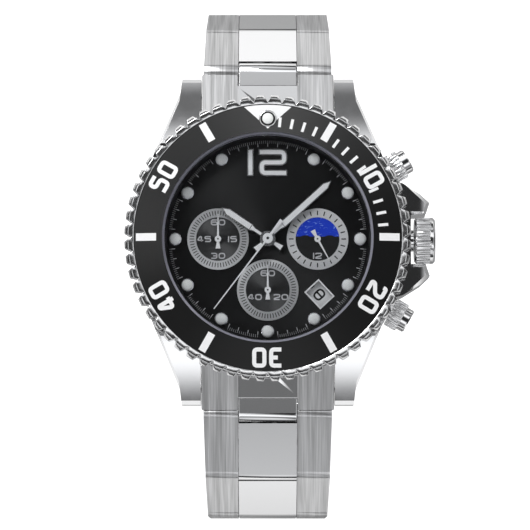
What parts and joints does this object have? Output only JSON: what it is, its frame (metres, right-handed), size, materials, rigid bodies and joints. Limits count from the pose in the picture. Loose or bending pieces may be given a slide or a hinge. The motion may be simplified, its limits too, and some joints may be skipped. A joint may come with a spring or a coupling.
{
  "type": "wristwatch, chronograph",
  "caption": "Steel chronograph wristwatch with a turning divers' bezel, counters, date window, crown, pushers and a jointed bracelet with a folding clasp, closed as worn.",
  "frame": {"origin": "centre of the case back's outer face", "axes": "+Z out of the dial, +Y to 12 o'clock, +X to the crown at 3 o'clock"},
  "size_m": [0.0461, 0.0796, 0.0624],
  "materials": {
    "polished_steel": "polished stainless steel",
    "brushed_steel": "stainless steel, brushed lengthways",
    "black_insert": "gloss black anodised insert with white figures",
    "luminous": "luminous paint",
    "crystal_glass": "clear flat crystal",
    "black_rubber": "soft black",
    "black_dial": "black sunray lacquer",
    "silver_print": "silvered ring with black ticks",
    "white_paint": "white paint",
    "polished_hands": "polished rims with white fill",
    "movement_brass": "plain turned brass",
    "movement_plastic": "moulded white",
    "green_board": "coated circuit board",
    "copper_wire": "enamelled copper winding"
  },
  "bodies": {
    "root": {"case_middle": "polished_steel", "case_back": "polished_steel", "gaskets": "black_rubber", "crystal": "crystal_glass", "rehaut": "black_dial", "bezel_click_spring": "brushed_steel", "dial": "black_dial", "subdial_rings": "silver_print", "hour_plots": "polished_steel", "numeral_12": "polished_steel", "date_window_frame": "white_paint", "movement_ring": "movement_plastic", "movement_cover": "movement_brass", "circuit_board": "green_board", "battery": "brushed_steel", "motor_coils": "copper_wire", "main_plate": "movement_brass", "case_tubes": "brushed_steel", "pusher_springs": "brushed_steel", "end_link_12": "brushed_steel", "end_link_6": "brushed_steel", "end_centres": "polished_steel", "lug_spring_bars": "brushed_steel"},
    "bezel": {"bezel_ring": "polished_steel", "bezel_insert": "black_insert", "bezel_pearl": "luminous"},
    "minute": {"minute_hand": "polished_hands", "cannon_pinion": "movement_brass"},
    "minute_wheel": {"minute_wheel": "movement_brass"},
    "hour": {"hour_hand": "polished_hands", "hour_wheel": "movement_brass"},
    "day_night": {"day_night_hand": "polished_hands"},
    "seconds": {"seconds_hand": "polished_hands"},
    "chrono": {"chrono_hand": "polished_hands"},
    "counter": {"counter_hand": "polished_hands"},
    "date": {"date_disc": "white_paint"},
    "setting": {"stem_fork": "brushed_steel"},
    "crown": {"crown": "polished_steel", "stem": "brushed_steel"},
    "pusher_2": {"pusher_2": "polished_steel"},
    "collar_2": {"pusher_collar_2": "polished_steel"},
    "pusher_4": {"pusher_4": "polished_steel"},
    "collar_4": {"pusher_collar_4": "polished_steel"},
    "link_6_1": {"link_6_1": "brushed_steel"},
    "link_6_2": {"link_6_2": "brushed_steel"},
    "link_6_3": {"link_6_3": "brushed_steel"},
    "link_6_4": {"link_6_4": "brushed_steel"},
    "link_6_5": {"link_6_5": "brushed_steel"},
    "link_6_6": {"link_6_6": "brushed_steel"},
    "clasp_inner": {"clasp_blade_inner": "brushed_steel", "clasp_catch": "brushed_steel"},
    "link_12_1": {"link_12_1": "brushed_steel"},
    "link_12_2": {"link_12_2": "brushed_steel"},
    "link_12_3": {"link_12_3": "brushed_steel"},
    "link_12_4": {"link_12_4": "brushed_steel"},
    "link_12_5": {"link_12_5": "brushed_steel"},
    "link_12_6": {"link_12_6": "brushed_steel"},
    "link_12_7": {"link_12_7": "brushed_steel"},
    "clasp_outer": {"clasp_blade_outer": "brushed_steel"},
    "clasp_cover": {"clasp_cover": "brushed_steel"}
  },
  "joints": [
    {"name": "bezel_turn", "type": "hinge", "parent": "root", "child": "bezel", "pos_m": [0, 0, 0.0105], "axis": [0, 0, -1], "continuous": true},
    {"name": "minute_turn", "type": "hinge", "parent": "root", "child": "minute", "pos_m": [0, 0, 0.0097], "axis": [0, 0, -1], "continuous": true},
    {"name": "minute_wheel_turn", "type": "hinge", "parent": "root", "child": "minute_wheel", "pos_m": [0, 0.00306, 0.0067], "axis": [0, 0, -1], "continuous": true},
    {"name": "hour_turn", "type": "hinge", "parent": "root", "child": "hour", "pos_m": [0, 0, 0.0093], "axis": [0, 0, -1], "continuous": true},
    {"name": "day_night_turn", "type": "hinge", "parent": "root", "child": "day_night", "pos_m": [0.0074, 0, 0.0089], "axis": [0, 0, -1], "continuous": true},
    {"name": "seconds_turn", "type": "hinge", "parent": "root", "child": "seconds", "pos_m": [0, -0.0076, 0.0089], "axis": [0, 0, -1], "continuous": true},
    {"name": "chrono_turn", "type": "hinge", "parent": "root", "child": "chrono", "pos_m": [0, 0, 0.01], "axis": [0, 0, -1], "continuous": true},
    {"name": "counter_turn", "type": "hinge", "parent": "root", "child": "counter", "pos_m": [-0.0074, 0, 0.0089], "axis": [0, 0, -1], "continuous": true},
    {"name": "date_turn", "type": "hinge", "parent": "root", "child": "date", "pos_m": [0, 0, 0.0077], "axis": [0, 0, -1], "continuous": true},
    {"name": "crown_pull", "type": "slide", "parent": "root", "child": "setting", "axis": [1, 0, 0], "range_m": [0, 0.0012]},
    {"name": "crown_turn", "type": "hinge", "parent": "setting", "child": "crown", "pos_m": [0.023, 0, 0.0056], "axis": [1, 0, 0], "continuous": true},
    {"name": "pusher_2_press", "type": "slide", "parent": "root", "child": "pusher_2", "axis": [-0.866, -0.5, 0], "range_m": [0, 0.001], "stiffness_N_per_m": 2000, "springref_m": -0.0006},
    {"name": "collar_2_turn", "type": "hinge", "parent": "root", "child": "collar_2", "pos_m": [0.01923, 0.0111, 0.0056], "axis": [0.866, 0.5, 0], "continuous": true},
    {"name": "pusher_4_press", "type": "slide", "parent": "root", "child": "pusher_4", "axis": [-0.866, 0.5, 0], "range_m": [0, 0.001], "stiffness_N_per_m": 2000, "springref_m": -0.0006},
    {"name": "collar_4_turn", "type": "hinge", "parent": "root", "child": "collar_4", "pos_m": [0.01923, -0.0111, 0.0056], "axis": [0.866, -0.5, 0], "continuous": true},
    {"name": "bracelet_open", "type": "hinge", "parent": "root", "child": "link_6_1", "pos_m": [0, -0.0257, 0.0026], "axis": [-1, 0, 0], "range_deg": [0, 27.5]},
    {"name": "link_6_2_hinge", "type": "hinge", "parent": "link_6_1", "child": "link_6_2", "pos_m": [0, -0.03404, -0.00174], "axis": [-1, 0, 0], "range_deg": [0, 29]},
    {"name": "link_6_3_hinge", "type": "hinge", "parent": "link_6_2", "child": "link_6_3", "pos_m": [0, -0.03923, -0.00958], "axis": [-1, 0, 0], "range_deg": [0, 32]},
    {"name": "link_6_4_hinge", "type": "hinge", "parent": "link_6_3", "child": "link_6_4", "pos_m": [0, -0.03947, -0.01898], "axis": [-1, 0, 0], "range_deg": [0, 19.5]},
    {"name": "link_6_5_hinge", "type": "hinge", "parent": "link_6_4", "child": "link_6_5", "pos_m": [0, -0.03657, -0.02792], "axis": [-1, 0, 0], "range_deg": [0, 20]},
    {"name": "link_6_6_hinge", "type": "hinge", "parent": "link_6_5", "child": "link_6_6", "pos_m": [0, -0.03078, -0.03532], "axis": [-1, 0, 0], "range_deg": [0, 20]},
    {"name": "clasp_end_hinge", "type": "hinge", "parent": "link_6_6", "child": "clasp_inner", "pos_m": [0, -0.02281, -0.0403], "axis": [-1, 0, 0], "range_deg": [0, 22.38]},
    {"name": "link_12_1_hinge", "type": "hinge", "parent": "root", "child": "link_12_1", "pos_m": [0, 0.0257, 0.0026], "axis": [1, 0, 0], "range_deg": [0, 49]},
    {"name": "link_12_2_hinge", "type": "hinge", "parent": "link_12_1", "child": "link_12_2", "pos_m": [0, 0.03187, -0.00449], "axis": [1, 0, 0], "range_deg": [0, 18]},
    {"name": "link_12_3_hinge", "type": "hinge", "parent": "link_12_2", "child": "link_12_3", "pos_m": [0, 0.03554, -0.01315], "axis": [1, 0, 0], "range_deg": [0, 15]},
    {"name": "link_12_4_hinge", "type": "hinge", "parent": "link_12_3", "child": "link_12_4", "pos_m": [0, 0.03685, -0.02246], "axis": [1, 0, 0], "range_deg": [0, 21]},
    {"name": "link_12_5_hinge", "type": "hinge", "parent": "link_12_4", "child": "link_12_5", "pos_m": [0, 0.03473, -0.03161], "axis": [1, 0, 0], "range_deg": [0, 25]},
    {"name": "link_12_6_hinge", "type": "hinge", "parent": "link_12_5", "child": "link_12_6", "pos_m": [0, 0.02895, -0.03902], "axis": [1, 0, 0], "range_deg": [0, 22]},
    {"name": "link_12_7_hinge", "type": "hinge", "parent": "link_12_6", "child": "link_12_7", "pos_m": [0, 0.02081, -0.04372], "axis": [1, 0, 0], "range_deg": [0, 15]},
    {"name": "clasp_fold", "type": "hinge", "parent": "clasp_inner", "child": "clasp_outer", "pos_m": [0, 0.00626, -0.0466], "axis": [1, 0, 0], "range_deg": [0, 150]},
    {"name": "clasp_cover_fold", "type": "hinge", "parent": "clasp_outer", "child": "clasp_cover", "pos_m": [0, -0.01913, -0.04329], "axis": [-1, 0, 0], "range_deg": [0, 150]}
  ],
  "couplings": [
    {"joint": "minute_wheel_turn", "follows": "minute_turn", "ratio": -0.33333},
    {"joint": "hour_turn", "follows": "minute_turn", "ratio": 0.083333},
    {"joint": "day_night_turn", "follows": "minute_turn", "ratio": 0.041667},
    {"joint": "counter_turn", "follows": "chrono_turn", "ratio": 0.016667},
    {"joint": "link_6_2_hinge", "follows": "bracelet_open", "ratio": 1.0545},
    {"joint": "link_6_3_hinge", "follows": "bracelet_open", "ratio": 1.1636},
    {"joint": "link_6_4_hinge", "follows": "bracelet_open", "ratio": 0.70909},
    {"joint": "link_6_5_hinge", "follows": "bracelet_open", "ratio": 0.72727},
    {"joint": "link_6_6_hinge", "follows": "bracelet_open", "ratio": 0.72727},
    {"joint": "clasp_end_hinge", "follows": "bracelet_open", "ratio": 0.81399},
    {"joint": "link_12_1_hinge", "follows": "bracelet_open", "ratio": 1.7818},
    {"joint": "link_12_2_hinge", "follows": "bracelet_open", "ratio": 0.65455},
    {"joint": "link_12_3_hinge", "follows": "bracelet_open", "ratio": 0.54546},
    {"joint": "link_12_4_hinge", "follows": "bracelet_open", "ratio": 0.76364},
    {"joint": "link_12_5_hinge", "follows": "bracelet_open", "ratio": 0.90909},
    {"joint": "link_12_6_hinge", "follows": "bracelet_open", "ratio": 0.8},
    {"joint": "link_12_7_hinge", "follows": "bracelet_open", "ratio": 0.54546},
    {"joint": "clasp_cover_fold", "follows": "clasp_fold", "ratio": 1}
  ]
}
